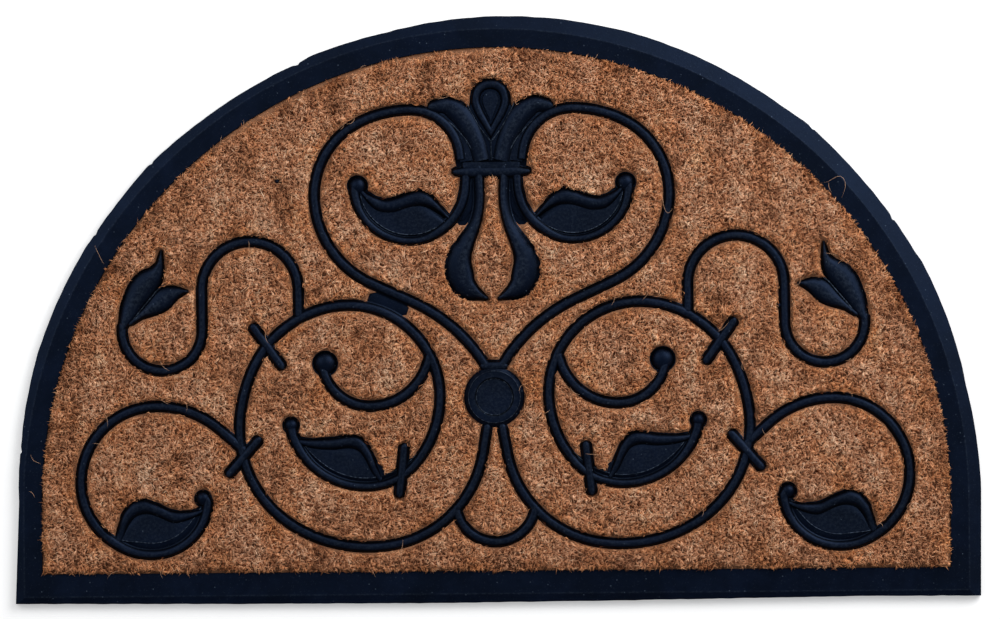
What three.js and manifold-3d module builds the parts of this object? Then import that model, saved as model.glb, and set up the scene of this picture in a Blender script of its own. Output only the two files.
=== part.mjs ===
// Half round coir doormat.  A rubber moulding makes the backing, the border and the raised
// scrollwork in one piece, and coir pile stands in the fields that it leaves open.
// Millimetres, +Z up, +Y towards the arch, origin at the middle of the underside.
import * as THREE from 'three';
import { mergeVertices } from 'three/addons/utils/BufferGeometryUtils.js';
import Module from 'manifold-3d';

const wasm = await Module();
wasm.setup();

// Driving dimensions
const CUT = { x: 2.2, archY: -147.5, radius: 375 }; // half round edge, trimmed to 18 by 30 inches
const CREASE = { half: 366.5, archY: -149, baseY: -220.5 }; // where the border starts to slope
const FIELD = { half: 352.5, archY: -149, baseY: -203 }; // inner edge of the border
const MOULD_X = -1.6; // the moulding lies off the middle of the trimmed edge
const ORNAMENT = { x: -2.8, y: 1.1, turn: 0.3 }; // the scrollwork in its border, turned in degrees

// The edge is trimmed by hand: out is how far it strays from the true arch at an angle
const TRIM = [
  { at: 0, out: -2.5 },
  { at: 13, out: -3.6 },
  { at: 18, out: -2 },
  { at: 29, out: 0.2 },
  { at: 30.5, out: -0.8 },
  { at: 42, out: -0.5 },
  { at: 50, out: 1 },
  { at: 54, out: 0.1 },
  { at: 72, out: 1 },
  { at: 90, out: 0.1 },
  { at: 103, out: -1.9 },
  { at: 113, out: -0.5 },
  { at: 114.5, out: -1.8 },
  { at: 128, out: -0.3 },
  { at: 136, out: 1.8 },
  { at: 143, out: 1.2 },
  { at: 148, out: 2 },
  { at: 163, out: 1.9 },
  { at: 173, out: -0.1 },
  { at: 180, out: -0.8 },
];
const BASE = [
  { x: -375, y: -225.6 },
  { x: -200, y: -227 },
  { x: -40, y: -227.6 },
  { x: 120, y: -226.4 },
  { x: 280, y: -224.8 },
  { x: 374, y: -225.2 },
];

const BACKING = 3; // height of the backing under the coir
const LAND = 8; // flat part of the border
const SLOPE_RUN = 20; // the border falls away over this width, cut short by the trimmed edge
const SLOPE_DROP = 5;
const RIB = 9; // top of the scrolls
const PLATE = 6.5; // sunk floors of the leaves and petals
const CAP = 9.6; // top of the boss, ties, collar and ball ends
const COIR_TOP = 12;
const GAP = 0.3; // between the coir and the rubber round it

const FACET = 13; // longest facet along an arc
const CURVE_FACET = 10; // along a soft curve
const FINE = 8; // and on a disc
const END_FACET = 6; // and on a strip's round end, which has three facets at least
const ARCH_FACET = 24; // and on the wide arches
const RIB_WIDE = 7.4;
const RIM_WIDE = 8.6; // outer edge of a leaf
const RIDGE_WIDE = 8.6; // inner edge of a leaf
const TIE_WIDE = 7.6;

const DEG = Math.PI / 180;
const RUBBER_COLOUR = 0x11131d;
const COIR_COLOUR = 0x80573c;

// The scrolls of the right half, each run of arcs and straights starting at x, y.
// left and right are radii, turn is degrees round the arc, ahead is a straight length.
const HEART_LINE = {
  x: 7, y: -43.5, heading: 56,
  run: [
    { ahead: 5 },
    { right: 129.5, turn: 31.3 },
    { ahead: 33.5 },
    { left: 76, turn: 62.2 },
    { left: 63.7, turn: 67.6 },
    { left: 90, turn: 25.5 },
    { left: 38.5, turn: 84 },
    { ahead: 9 },
  ],
};
const WHEEL_SCROLL = {
  x: 6, y: -93, heading: -80,
  run: [
    { ahead: 20.2 },
    { left: 85.9, turn: 70.6 },
    { left: 110.4, turn: 39.7 },
    { left: 89.4, turn: 67.4 },
    { left: 123.8, turn: 16.3 },
    { left: 84.5, turn: 54 },
    { left: 71.1, turn: 102 },
    { left: 79.2, turn: 38 },
    { left: 51.8, turn: 52 },
    { left: 60, turn: 70 },
  ],
};
const WHEEL_COMMA = {
  x: 50, y: -37, heading: -73,
  run: [
    { ahead: 5 },
    { left: 47, turn: 73 },
    { left: 37, turn: 78 },
  ],
};
const TENDRIL = {
  x: 151, y: -3, heading: 90,
  run: [
    { ahead: 19.5 },
    { right: 37.5, turn: 180 },
    { ahead: 31 },
    { left: 31, turn: 180 },
    { ahead: 4 },
  ],
};
const OUTER_LOOP = {
  x: 196, y: -107, heading: 42,
  run: [
    { ahead: 22 },
    { right: 75, turn: 42 },
    { right: 59, turn: 90 },
    { right: 55, turn: 90 },
    { right: 43, turn: 86 },
  ],
};
const HEART_LEAF_RIM = {
  x: 19.6, y: 106, heading: -86,
  run: [
    { ahead: 12 },
    { left: 43, turn: 172 },
  ],
};
const DROP_ARC = { x: 0, y: -181.5, heading: 0, run: [{ left: 31, turn: 80 }] };

// Inner ridges of the leaves, and the petals: soft curves through a few set-out points.
const HEART_LEAF_RIDGE = [[102, 92], [86, 81], [72, 82.5], [57, 87], [45, 80], [34, 68]];
const WHEEL_LEAF_RIDGE = [[152, -102], [138, -104], [122, -103], [106, -103], [97, -116], [90, -133]];
const LOOP_LEAF_RIDGE = [[226, -154], [240, -159], [256, -156], [274, -149], [286, -158], [292, -177]];
const LOBE = [[10.5, 108], [9.5, 84], [13, 66], [21, 50], [25.5, 39.5], [25.5, 28], [21.5, 17.5], [14, 11.5],
  [5.5, 7.5]];
const LOBE_WIDTHS = [8, 8, 8, 9, 12.5, 17.5, 20.5, 15.5, 4];
const PETAL = [[8, 112], [12, 130], [22, 148], [34, 157], [44.5, 157]];
const PETAL_WIDTHS = [14, 15, 17, 16, 9];
const PETAL_FLOOR = [[17, 108], [19, 124], [27, 140], [38, 149], [47, 152]]; // from it to the heart line
const PETAL_FLOOR_WIDTHS = [14, 16, 14, 11, 7];
const CREST = [[0, 108], [0, 122], [0, 132], [0, 142], [0, 152], [0, 161.5]];
const CREST_WIDTHS = [4, 11, 18, 26, 35, 31];
const BUD_OUTER = [[288, -12], [284.5, -4], [280, 6], [272, 19], [262, 29.5], [258.3, 37], [257, 47.5]];
const BUD_OUTER_WIDTHS = [7.4, 14, 17.7, 20.3, 17.5, 8, 2.5];
const BUD_INNER = [[281, -8], [271.7, -1], [262.7, 4.4], [252.3, 12.6], [242.8, 15.9], [237.4, 16]];
const BUD_INNER_WIDTHS = [5, 7, 14, 18, 13, 3];

// Round ends, ties and the middle pieces
const BALLS = [
  { x: 104, y: 96, radius: 8 },
  { x: 131, y: -41.5, radius: 9.8 },
  { x: 158, y: -89, radius: 6.6 },
  { x: 227, y: -145, radius: 6.8 },
];
const TIES = [
  { from: [186, -13], to: [165, -42.5] },
  { from: [184, -100.5], to: [206, -125.5] },
  { from: [70.5, -107.5], to: [74.5, -143] },
];
const BOSS = { y: -69, radius: 23, dish: 14.5, dishDeep: 1.2 };
const SHOULDER = { y: -45, half: 7, wide: 8 }; // where the two heart lines meet over the boss
const COLLAR = { y: 106.6, half: 28, wide: 9.8 };
const STEM_WEB = [[15, 104], [17, 85], [23, 70]]; // closes the fork of the two stems
const STEM_WEB_WIDE = 11.5;
const WEB = { from: [-71, 0], to: [-92, 8], wide: 11 }; // rubber that closed a strip on the left

// Points along a run of arcs and straights
function pointsOf({ x, y, heading, run }) {
  const points = [new THREE.Vector2(x, y)];
  let angle = heading * DEG;
  for (const { ahead = 0, left = 0, right = 0, turn = 0 } of run) {
    const start = points[points.length - 1];
    if (ahead) {
      points.push(new THREE.Vector2(start.x + ahead * Math.cos(angle), start.y + ahead * Math.sin(angle)));
      continue;
    }
    const side = left ? 1 : -1;
    const radius = left || right;
    const centre = new THREE.Vector2(
      start.x - side * radius * Math.sin(angle),
      start.y + side * radius * Math.cos(angle),
    );
    const pieces = Math.ceil((radius * turn * DEG) / FACET);
    for (let piece = 1; piece <= pieces; piece += 1) {
      const at = angle + (side * turn * DEG * piece) / pieces;
      points.push(new THREE.Vector2(
        centre.x + side * radius * Math.sin(at),
        centre.y - side * radius * Math.cos(at),
      ));
    }
    angle += side * turn * DEG;
  }
  return points;
}

// Points along a soft curve through set-out points
function curveOf(setOut) {
  const curve = new THREE.SplineCurve(setOut.map(([x, y]) => new THREE.Vector2(x, y)));
  return curve.getSpacedPoints(Math.ceil(curve.getLength() / CURVE_FACET));
}

// Outline of a strip along a line of points, as wide as widthAt(share of its length), ends round,
// and wider all round by grow
function stripShape(points, widthAt, grow) {
  const path = new THREE.CurvePath();
  for (let index = 1; index < points.length; index += 1) {
    path.add(new THREE.LineCurve(points[index - 1], points[index]));
  }
  const lengths = [0, ...path.getCurveLengths()];
  const whole = lengths[lengths.length - 1];
  const leftSide = [];
  const rightSide = [];
  points.forEach((point, index) => {
    const before = points[Math.max(index - 1, 0)];
    const after = points[Math.min(index + 1, points.length - 1)];
    const along = after.clone().sub(before).normalize();
    const half = widthAt(lengths[index] / whole) / 2 + grow;
    leftSide.push(new THREE.Vector2(point.x - along.y * half, point.y + along.x * half));
    rightSide.push(new THREE.Vector2(point.x + along.y * half, point.y - along.x * half));
  });
  const endCap = roundEnd(points[points.length - 1], leftSide[leftSide.length - 1], widthAt(1));
  const startCap = roundEnd(points[0], rightSide[0], widthAt(0));
  return new THREE.Shape([...leftSide, ...endCap, ...rightSide.reverse(), ...startCap]);
}

// Points of a half circle clockwise round the end of a strip, without its first and last
function roundEnd(centre, first, width) {
  const spoke = first.clone().sub(centre);
  const pieces = Math.max(3, Math.ceil((Math.PI * width) / 2 / END_FACET));
  const cap = [];
  for (let piece = 1; piece < pieces; piece += 1) {
    const turned = spoke.clone().rotateAround(new THREE.Vector2(), (-Math.PI * piece) / pieces);
    cap.push(turned.add(centre));
  }
  return cap;
}

// A width that changes evenly between the widths set out along a strip
function taper(widths) {
  return (share) => {
    const place = Math.min(share * (widths.length - 1), widths.length - 1.001);
    const index = Math.floor(place);
    return THREE.MathUtils.lerp(widths[index], widths[index + 1], place - index);
  };
}

// Outline with straight sides, a flat base and a half round arch
function archShape({ half, archY, baseY }) {
  const points = [new THREE.Vector2(-half, baseY), new THREE.Vector2(half, baseY)];
  const pieces = Math.ceil((Math.PI * half) / ARCH_FACET);
  for (let piece = 0; piece <= pieces; piece += 1) {
    const angle = (Math.PI * piece) / pieces;
    points.push(new THREE.Vector2(half * Math.cos(angle), archY + half * Math.sin(angle)));
  }
  return new THREE.Shape(points);
}

// Outline of the whole mat as trimmed, with the base's points first
function trimmedShape() {
  const points = BASE.map(({ x, y }) => new THREE.Vector2(x, y));
  TRIM.slice(1).forEach((row, index) => {
    const before = TRIM[index];
    const pieces = Math.ceil((CUT.radius * (row.at - before.at) * DEG) / ARCH_FACET);
    for (let piece = index ? 1 : 0; piece <= pieces; piece += 1) {
      const share = piece / pieces;
      const angle = THREE.MathUtils.lerp(before.at, row.at, share) * DEG;
      const radius = CUT.radius + THREE.MathUtils.lerp(before.out, row.out, share);
      points.push(new THREE.Vector2(CUT.x + radius * Math.cos(angle), CUT.archY + radius * Math.sin(angle)));
    }
  });
  return new THREE.Shape(points);
}

function discShape(x, y, radius, grow = 0) {
  const points = [];
  const pieces = Math.ceil((2 * Math.PI * radius) / FINE);
  for (let piece = 0; piece < pieces; piece += 1) {
    const angle = (2 * Math.PI * piece) / pieces;
    points.push(new THREE.Vector2(
      x + (radius + grow) * Math.cos(angle),
      y + (radius + grow) * Math.sin(angle),
    ));
  }
  return new THREE.Shape(points);
}

function mirrored(points) {
  return points.map((point) => new THREE.Vector2(-point.x, point.y));
}

// A closed mesh as a solid that can be joined and cut
function solidOf(geometry) {
  geometry.deleteAttribute('normal');
  geometry.deleteAttribute('uv');
  const merged = mergeVertices(geometry, 1e-4);
  return new wasm.Manifold(new wasm.Mesh({
    numProp: 3,
    vertProperties: new Float32Array(merged.attributes.position.array),
    triVerts: new Uint32Array(merged.index.array),
  }));
}

function prism(shape, bottom, top) {
  const geometry = new THREE.ExtrudeGeometry(shape, { depth: top - bottom, bevelEnabled: false });
  geometry.translate(0, 0, bottom);
  return geometry;
}

// A prism of the scrollwork, turned and set off as the whole ornament is
function ornament(shape, bottom, top) {
  const geometry = prism(shape, bottom, top);
  geometry.rotateZ(ORNAMENT.turn * DEG);
  geometry.translate(ORNAMENT.x, ORNAMENT.y, 0);
  return solidOf(geometry);
}

function bordered(shape, bottom, top) {
  const geometry = prism(shape, bottom, top);
  geometry.translate(MOULD_X, 0, 0);
  return solidOf(geometry);
}

// Every raised form of the ornament: an outline for the rubber, a wider one for the hole in the
// coir, and its top.  Forms of the right half are repeated, mirrored, on the left.
function raisedForms(grow) {
  const forms = [];
  const strip = (points, width, top) => {
    const widthAt = typeof width === 'number' ? () => width : taper(width);
    forms.push({ shape: stripShape(points, widthAt, grow), top });
  };
  for (const flip of [(points) => points, mirrored]) {
    strip(flip(pointsOf(HEART_LEAF_RIM)), RIM_WIDE, RIB);
    for (const line of [HEART_LINE, WHEEL_SCROLL, WHEEL_COMMA, TENDRIL, OUTER_LOOP, DROP_ARC]) {
      strip(flip(pointsOf(line)), RIB_WIDE, RIB);
    }
    for (const leaf of leaves()) {
      strip(flip(leaf.rim), RIM_WIDE, RIB);
      strip(flip(leaf.ridge), RIDGE_WIDE, RIB);
      forms.push({ shape: new THREE.Shape(flip([...leaf.rim, ...leaf.ridge])), top: PLATE });
    }
    strip(flip(curveOf(LOBE)), LOBE_WIDTHS, RIB);
    strip(flip(curveOf(PETAL)), PETAL_WIDTHS, RIB);
    strip(flip(curveOf(BUD_OUTER)), BUD_OUTER_WIDTHS, RIB);
    strip(flip(curveOf(BUD_INNER)), BUD_INNER_WIDTHS, RIB);
    strip(flip(curveOf(STEM_WEB)), STEM_WEB_WIDE, PLATE);
    strip(flip(curveOf(PETAL_FLOOR)), PETAL_FLOOR_WIDTHS, PLATE);
    for (const { from, to } of TIES) {
      strip(flip([new THREE.Vector2(...from), new THREE.Vector2(...to)]), TIE_WIDE, CAP);
    }
    for (const { x, y, radius } of BALLS) {
      const [centre] = flip([new THREE.Vector2(x, y)]);
      forms.push({ shape: discShape(centre.x, centre.y, radius, grow), top: CAP });
    }
  }
  strip([new THREE.Vector2(...WEB.from), new THREE.Vector2(...WEB.to)], WEB.wide, PLATE);
  strip([new THREE.Vector2(-COLLAR.half, COLLAR.y), new THREE.Vector2(COLLAR.half, COLLAR.y)],
    [COLLAR.wide - 3, COLLAR.wide, COLLAR.wide - 3], CAP);
  strip([new THREE.Vector2(-SHOULDER.half, SHOULDER.y), new THREE.Vector2(SHOULDER.half, SHOULDER.y)],
    SHOULDER.wide, RIB);
  strip(CREST.map(([x, y]) => new THREE.Vector2(x, y)), CREST_WIDTHS, RIB);
  forms.push({ shape: discShape(0, BOSS.y, BOSS.radius, grow), top: CAP });
  return forms;
}

// Each leaf's rim, and its ridge run back to close the leaf
function leaves() {
  const heartRim = pointsOf(HEART_LEAF_RIM);
  const wheel = pointsOf(WHEEL_SCROLL);
  const loop = pointsOf(OUTER_LOOP);
  return [
    { rim: heartRim.slice(heartRim.findIndex((point) => point.y < 72)), ridge: curveOf(HEART_LEAF_RIDGE) },
    { rim: wheel.slice(wheel.findLastIndex((point) => point.x < 88)), ridge: curveOf(WHEEL_LEAF_RIDGE) },
    { rim: loop.slice(loop.findLastIndex((point) => point.x > 296)), ridge: curveOf(LOOP_LEAF_RIDGE) },
  ];
}

function join(solids) {
  return solids.reduce((sum, solid) => sum.add(solid));
}

// Backing, border and ornament are one moulding
function rubberMoulding() {
  const sloped = new THREE.ExtrudeGeometry(archShape(CREASE), {
    depth: LAND - SLOPE_DROP,
    bevelEnabled: true,
    bevelThickness: SLOPE_DROP,
    bevelSize: SLOPE_RUN,
    bevelSegments: 1,
  });
  sloped.translate(MOULD_X, 0, 0);
  const tray = solidOf(sloped)
    .intersect(solidOf(prism(trimmedShape(), 0, LAND + 1)))
    .subtract(bordered(archShape(FIELD), BACKING, LAND + 1));
  const raised = raisedForms(0).map(({ shape, top }) => ornament(shape, BACKING - 1, top));
  const dish = ornament(discShape(0, BOSS.y, BOSS.dish), CAP - BOSS.dishDeep, CAP + 1);
  return tray.add(join(raised)).subtract(dish);
}

// The coir stands in what is left of the field: inside the heart, inside the closed left wheel,
// in the drop under the boss, and outside them
function coirFields() {
  const bottom = BACKING + GAP;
  const hole = join(raisedForms(GAP).map(({ shape }) => ornament(shape, 0, COIR_TOP + 1)));
  const region = (points) => ornament(new THREE.Shape(points), bottom, COIR_TOP);
  const heartLine = pointsOf(HEART_LINE);
  const heart = region([...heartLine, ...mirrored(heartLine).reverse()]);
  const scroll = pointsOf(WHEEL_SCROLL);
  const overTop = scroll.findIndex((point) => point.y > 0);
  const toWeb = overTop + scroll.slice(overTop).findIndex((point) => point.x < 92);
  const back = heartLine.findIndex((point) => point.x > 80);
  const wheel = region(mirrored([...scroll.slice(0, toWeb + 1), ...heartLine.slice(0, back).reverse(),
    new THREE.Vector2(0, BOSS.y)]));
  const side = scroll.slice(0, scroll.findIndex((point) => point.y < -156));
  const arc = pointsOf(DROP_ARC);
  const drop = region([new THREE.Vector2(0, BOSS.y), ...side, ...arc.slice(0, -1).reverse(),
    ...mirrored(arc.slice(1, -1)), ...mirrored(side).reverse()]);
  const inset = { ...FIELD, half: FIELD.half - GAP, baseY: FIELD.baseY + GAP };
  const whole = bordered(archShape(inset), bottom, COIR_TOP);
  return {
    coir_outer_field: whole.subtract(heart).subtract(wheel).subtract(drop).subtract(hole),
    coir_heart_field: heart.subtract(hole),
    coir_left_wheel: wheel.subtract(heart).subtract(hole),
    coir_drop_field: drop.subtract(wheel).subtract(hole),
  };
}

function meshOf(name, solid, material) {
  const { vertProperties, triVerts } = solid.getMesh();
  const geometry = new THREE.BufferGeometry();
  geometry.setAttribute('position', new THREE.BufferAttribute(new Float32Array(vertProperties), 3));
  geometry.setIndex(new THREE.BufferAttribute(new Uint32Array(triVerts), 1));
  geometry.computeVertexNormals();
  const mesh = new THREE.Mesh(geometry, material);
  mesh.name = name;
  return mesh;
}

const doormat = new THREE.Group();
const rubber = new THREE.MeshStandardMaterial({ color: RUBBER_COLOUR, roughness: 0.6, metalness: 0 });
doormat.add(meshOf('rubber_moulding', rubberMoulding(), rubber));
for (const [name, solid] of Object.entries(coirFields())) {
  const coir = new THREE.MeshStandardMaterial({ color: COIR_COLOUR, roughness: 1, metalness: 0 });
  doormat.add(meshOf(name, solid, coir));
}

export default doormat;
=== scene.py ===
"""Half round coir doormat: the finished look of the mat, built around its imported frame."""
import math
from itertools import pairwise

import bmesh
import bpy
import numpy as np
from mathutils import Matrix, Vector
from mathutils.kdtree import KDTree


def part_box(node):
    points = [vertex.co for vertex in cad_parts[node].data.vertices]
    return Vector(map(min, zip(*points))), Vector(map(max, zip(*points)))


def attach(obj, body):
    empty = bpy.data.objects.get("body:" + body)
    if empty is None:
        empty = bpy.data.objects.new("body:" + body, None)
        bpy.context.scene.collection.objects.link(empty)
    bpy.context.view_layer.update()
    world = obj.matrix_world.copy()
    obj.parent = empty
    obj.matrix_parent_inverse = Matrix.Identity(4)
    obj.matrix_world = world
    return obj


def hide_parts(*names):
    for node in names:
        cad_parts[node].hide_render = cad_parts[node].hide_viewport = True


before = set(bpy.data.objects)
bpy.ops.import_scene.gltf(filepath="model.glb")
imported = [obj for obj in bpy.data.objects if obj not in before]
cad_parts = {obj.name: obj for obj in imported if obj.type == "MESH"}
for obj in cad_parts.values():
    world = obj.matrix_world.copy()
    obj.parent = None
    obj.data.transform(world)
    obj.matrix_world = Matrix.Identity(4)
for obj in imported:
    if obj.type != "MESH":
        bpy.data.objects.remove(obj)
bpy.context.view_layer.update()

# ---- Backing and border ---------------------------------------------------------------------------
# Black rubber: a thin backing under the whole mat, and a flat border that slopes down to the floor.
# It is pressed in a mould with the scrollwork, and then cut free by hand with a knife, so its edge
# wanders a little from the true half round and keeps small nicks where the knife was set down again.
MM = 0.001
WELD = 0.01 * MM
SHARP = math.radians(40)
BORDER_SHARP = math.radians(10)
BACKING = 3 * MM
LAND = 8 * MM
SLOPE_RUN = 20 * MM
SLOPE_DROP = 5 * MM
MOULD_X = -1.6 * MM
ARCH_Y = -149 * MM
CREASE_HALF = 366.5 * MM
CREASE_BASE = -220.5 * MM
LAND_WIDE = 14 * MM
BASE_LAND_EXTRA = 3.5 * MM
ARCH_SIDES = 180
EDGE_ROUND = 0.7 * MM
# The knife's cut, in mm: a plain arc, how far outside it the knife ran at some degrees round it, the
# straight base, the knife's small wanderings, and the degrees, depth and half width of its nicks.
CUT = {"x": 2.2, "y": -147.5, "radius": 375}
TRIM_AT = (0, 13, 18, 29, 30.5, 42, 50, 54, 72, 90, 103, 113, 114.5, 128, 136, 143, 148, 163, 173, 180)
TRIM_OUT = (-2.5, -3.6, -2, 0.2, -0.8, -0.5, 1, 0.1, 1, 0.1, -1.9, -0.5, -1.8, -0.3, 1.8, 1.2, 2, 1.9,
            -0.1, -0.8)
BASE_X = (-375, -200, -40, 120, 280, 374)
BASE_Y = (-225.6, -227, -227.6, -226.4, -224.8, -225.2)
KNIFE_STEP = 2
KNIFE_WANDER = 0.2
KNIFE_SMOOTH = (0.15, 0.2, 0.3, 0.2, 0.15)
NICKS = ((35.2, 1.2), (49.6, 1), (114.7, 1.4), (135.7, 1.1), (146.3, 1.2), (173.8, 1.5))
NICK_HALF = 0.4
CREASE_SOFT = 1 * MM
CREASE_PALENESS = 0.16

rng = np.random.default_rng(18)


def pick(piece):
    """Makes this piece the only one selected, and the active one."""
    bpy.ops.object.select_all(action="DESELECT")
    piece.select_set(True)
    bpy.context.view_layer.objects.active = piece


def edit(piece):
    """Opens a piece in edit mode with all of it selected, and returns its mesh."""
    pick(piece)
    bpy.ops.object.mode_set(mode="EDIT")
    bpy.ops.mesh.select_all(action="SELECT")
    return bmesh.from_edit_mesh(piece.data)


def select(kind, elements):
    """Selects these elements alone of the open mesh, of the kind VERT, EDGE or FACE."""
    bpy.ops.mesh.select_mode(type=kind)
    bpy.ops.mesh.select_all(action="DESELECT")
    for element in elements:
        element.select_set(True)


def inset(*steps):
    """Insets the selected faces step by step, each by a width and a rise."""
    for width, rise in steps:
        bpy.ops.mesh.inset(thickness=width, depth=rise)


def linked(name, data):
    """A new object in the scene."""
    piece = bpy.data.objects.new(name, data)
    bpy.context.scene.collection.objects.link(piece)
    return piece


def primitive(kind, **settings):
    """A new primitive of a kind, with its place kept in its mesh."""
    bpy.ops.object.select_all(action="DESELECT")
    getattr(bpy.ops.mesh, f"primitive_{kind}_add")(**settings)
    bpy.ops.object.transform_apply(location=True, rotation=True, scale=True)
    return bpy.context.object


def apply_modifier(piece, kind, **settings):
    """Adds a modifier to a piece and applies it."""
    pick(piece)
    modifier = piece.modifiers.new(kind.lower(), kind)
    for name, value in settings.items():
        setattr(modifier, name, value)
    bpy.ops.object.modifier_apply(modifier=modifier.name)


def wander(count, size):
    """Small smooth random offsets, one for each of count points."""
    raw = rng.normal(0, size, count + len(KNIFE_SMOOTH) - 1)
    return np.convolve(raw, KNIFE_SMOOTH, mode="valid")


def cut_outline():
    """Points of the knife's cut round the whole mat, the base first, in metres."""
    base_x = np.arange(BASE_X[0], BASE_X[-1], KNIFE_STEP)
    base_y = np.interp(base_x, BASE_X, BASE_Y)
    degrees = np.arange(0, 180, math.degrees(KNIFE_STEP / CUT["radius"]))
    radius = CUT["radius"] + np.interp(degrees, TRIM_AT, TRIM_OUT) + wander(len(degrees), KNIFE_WANDER)
    for at, deep in NICKS:
        radius = radius - deep * np.clip(1 - np.abs(degrees - at) / NICK_HALF, 0, 1)
    arch_x = CUT["x"] + radius * np.cos(np.radians(degrees))
    arch_y = CUT["y"] + radius * np.sin(np.radians(degrees))
    across = np.concatenate([base_x, [BASE_X[-1]], arch_x])
    along = np.concatenate([base_y + wander(len(base_y), KNIFE_WANDER), [BASE_Y[-1]], arch_y])
    return np.column_stack([across, along]) * MM


def half_round_sheet():
    """The moulded sheet before it is cut free: outer wall, slope, land and sunk field."""
    sheet = primitive("circle", vertices=2 * ARCH_SIDES, radius=CREASE_HALF + SLOPE_RUN,
                      fill_type="NGON", location=(MOULD_X, ARCH_Y, 0))
    edit(sheet)
    bpy.ops.mesh.bisect(plane_co=(0, ARCH_Y, 0), plane_no=(0, 1, 0), clear_inner=True)
    to_base = CREASE_BASE - SLOPE_RUN - ARCH_Y
    bpy.ops.mesh.extrude_region_move(TRANSFORM_OT_translate={"value": (0, to_base, 0)})
    mesh = bmesh.from_edit_mesh(sheet.data)
    select("EDGE", [edge for edge in mesh.edges if len(edge.link_faces) == 2])
    bpy.ops.mesh.dissolve_edges(use_verts=False)
    bpy.ops.mesh.select_mode(type="FACE")
    bpy.ops.mesh.select_all(action="SELECT")
    bpy.ops.mesh.normals_make_consistent(inside=False)
    mesh = bmesh.from_edit_mesh(sheet.data)
    if next(iter(mesh.faces)).normal.z < 0:
        bpy.ops.mesh.flip_normals()
    bpy.ops.mesh.extrude_region_move(TRANSFORM_OT_translate={"value": (0, 0, LAND - SLOPE_DROP)})
    near_crease = CREASE_SOFT / SLOPE_RUN
    inset((SLOPE_RUN - CREASE_SOFT, SLOPE_DROP * (1 - near_crease)),
          (CREASE_SOFT, SLOPE_DROP * near_crease), (CREASE_SOFT, 0), (LAND_WIDE - CREASE_SOFT, 0))
    mesh = bmesh.from_edit_mesh(sheet.data)
    field = next(face for face in mesh.faces if face.select)
    field_base = min(vertex.co.y for vertex in field.verts)
    select("VERT", [vertex for vertex in field.verts if vertex.co.y < field_base + MM])
    bpy.ops.transform.translate(value=(0, BASE_LAND_EXTRA, 0))
    select("FACE", [field])
    bpy.ops.mesh.extrude_region_move(TRANSFORM_OT_translate={"value": (0, 0, BACKING - LAND)})
    bpy.ops.object.mode_set(mode="OBJECT")
    return sheet


def knife_block():
    """A block with the knife's outline, taller than the mat."""
    outline = cut_outline()
    curve = bpy.data.curves.new("knife", "CURVE")
    curve.dimensions = "2D"
    curve.fill_mode = "BOTH"
    curve.extrude = 2 * LAND
    spline = curve.splines.new("POLY")
    spline.points.add(len(outline) - 1)
    for point, (x, y) in zip(spline.points, outline):
        point.co = (x, y, 0, 1)
    spline.use_cyclic_u = True
    block = linked("knife", curve)
    pick(block)
    bpy.ops.object.convert(target="MESH")
    edit(block)
    bpy.ops.mesh.remove_doubles(threshold=WELD)
    bpy.ops.mesh.normals_make_consistent(inside=False)
    bpy.ops.object.mode_set(mode="OBJECT")
    return block


def points_of(data):
    """The corner points of a mesh."""
    return np.array([vertex.co for vertex in data.vertices])


def set_values(data, name, values):
    """Gives a mesh an attribute with a value at each of its points."""
    layer = data.attributes.new(name, "FLOAT", "POINT")
    layer.data.foreach_set("value", np.ravel(values).astype(np.float32))


def inside_of(points, half, base):
    """How far points lie inside a half round outline of the moulding."""
    x, y = points[:, 0] - MOULD_X, points[:, 1]
    return np.minimum(half - np.hypot(x, np.maximum(y - ARCH_Y, 0)), y - base)


def pale_crease(piece):
    """The crease where the border starts to slope is painted paler."""
    points = points_of(piece.data)
    on_crease = np.abs(inside_of(points, CREASE_HALF, CREASE_BASE)) < CREASE_SOFT / 4
    set_values(piece.data, "dust", CREASE_PALENESS * (on_crease & (points[:, 2] > BACKING)))


def nodes_of(name, roughness, specular):
    """A new material with its shader, and a helper that adds a node with its settings."""
    material = bpy.data.materials.new(name)
    material.use_nodes = True
    tree = material.node_tree
    shader = tree.nodes["Principled BSDF"]
    shader.inputs["Roughness"].default_value = roughness
    shader.inputs["Specular IOR Level"].default_value = specular

    def add(kind, settings=(), *first, **named):
        node = tree.nodes.new(kind)
        for key, value in dict(settings).items():
            setattr(node, key, value)
        sockets = list(zip(node.inputs, first))
        sockets += [(node.inputs[key.replace("_", " ")], value) for key, value in named.items()]
        for socket, value in sockets:
            if isinstance(value, bpy.types.NodeSocket):
                tree.links.new(value, socket)
            else:
                socket.default_value = value
        return node

    return material, tree, shader, add


def ramp(add, factor, *stops):
    """A colour ramp over factor: each stop is a place and a colour."""
    node = add("ShaderNodeValToRGB", Fac=factor)
    elements = node.color_ramp.elements
    while len(elements) < len(stops):
        elements.new(0.5)
    for element, (place, colour) in zip(elements, stops):
        element.position = place
        element.color = (*colour, 1)
    return node.outputs["Color"]


def mixed(add, blend, factor, under, over):
    """Two colours mixed in a way, such as MIX or MULTIPLY."""
    node = add("ShaderNodeMix", {"data_type": "RGBA", "blend_type": blend}, Factor=factor, A=under, B=over)
    return node.outputs["Result"]


def grey_ramp(add, factor, start, start_grey, end, end_grey):
    """A ramp over factor from one grey to another."""
    return ramp(add, factor, (start, (start_grey,) * 3), (end, (end_grey,) * 3))


def noise(add, scale, detail, roughness, distortion=0):
    """Clouded noise fixed to the piece, from 0 to 1."""
    place = add("ShaderNodeTexCoord").outputs["Object"]
    return add("ShaderNodeTexNoise", Vector=place, Scale=scale, Detail=detail, Roughness=roughness,
               Distortion=distortion).outputs["Fac"]


def value_of(add, name):
    """The value of an attribute of the piece."""
    return add("ShaderNodeAttribute", {"attribute_name": name}).outputs["Fac"]


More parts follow.
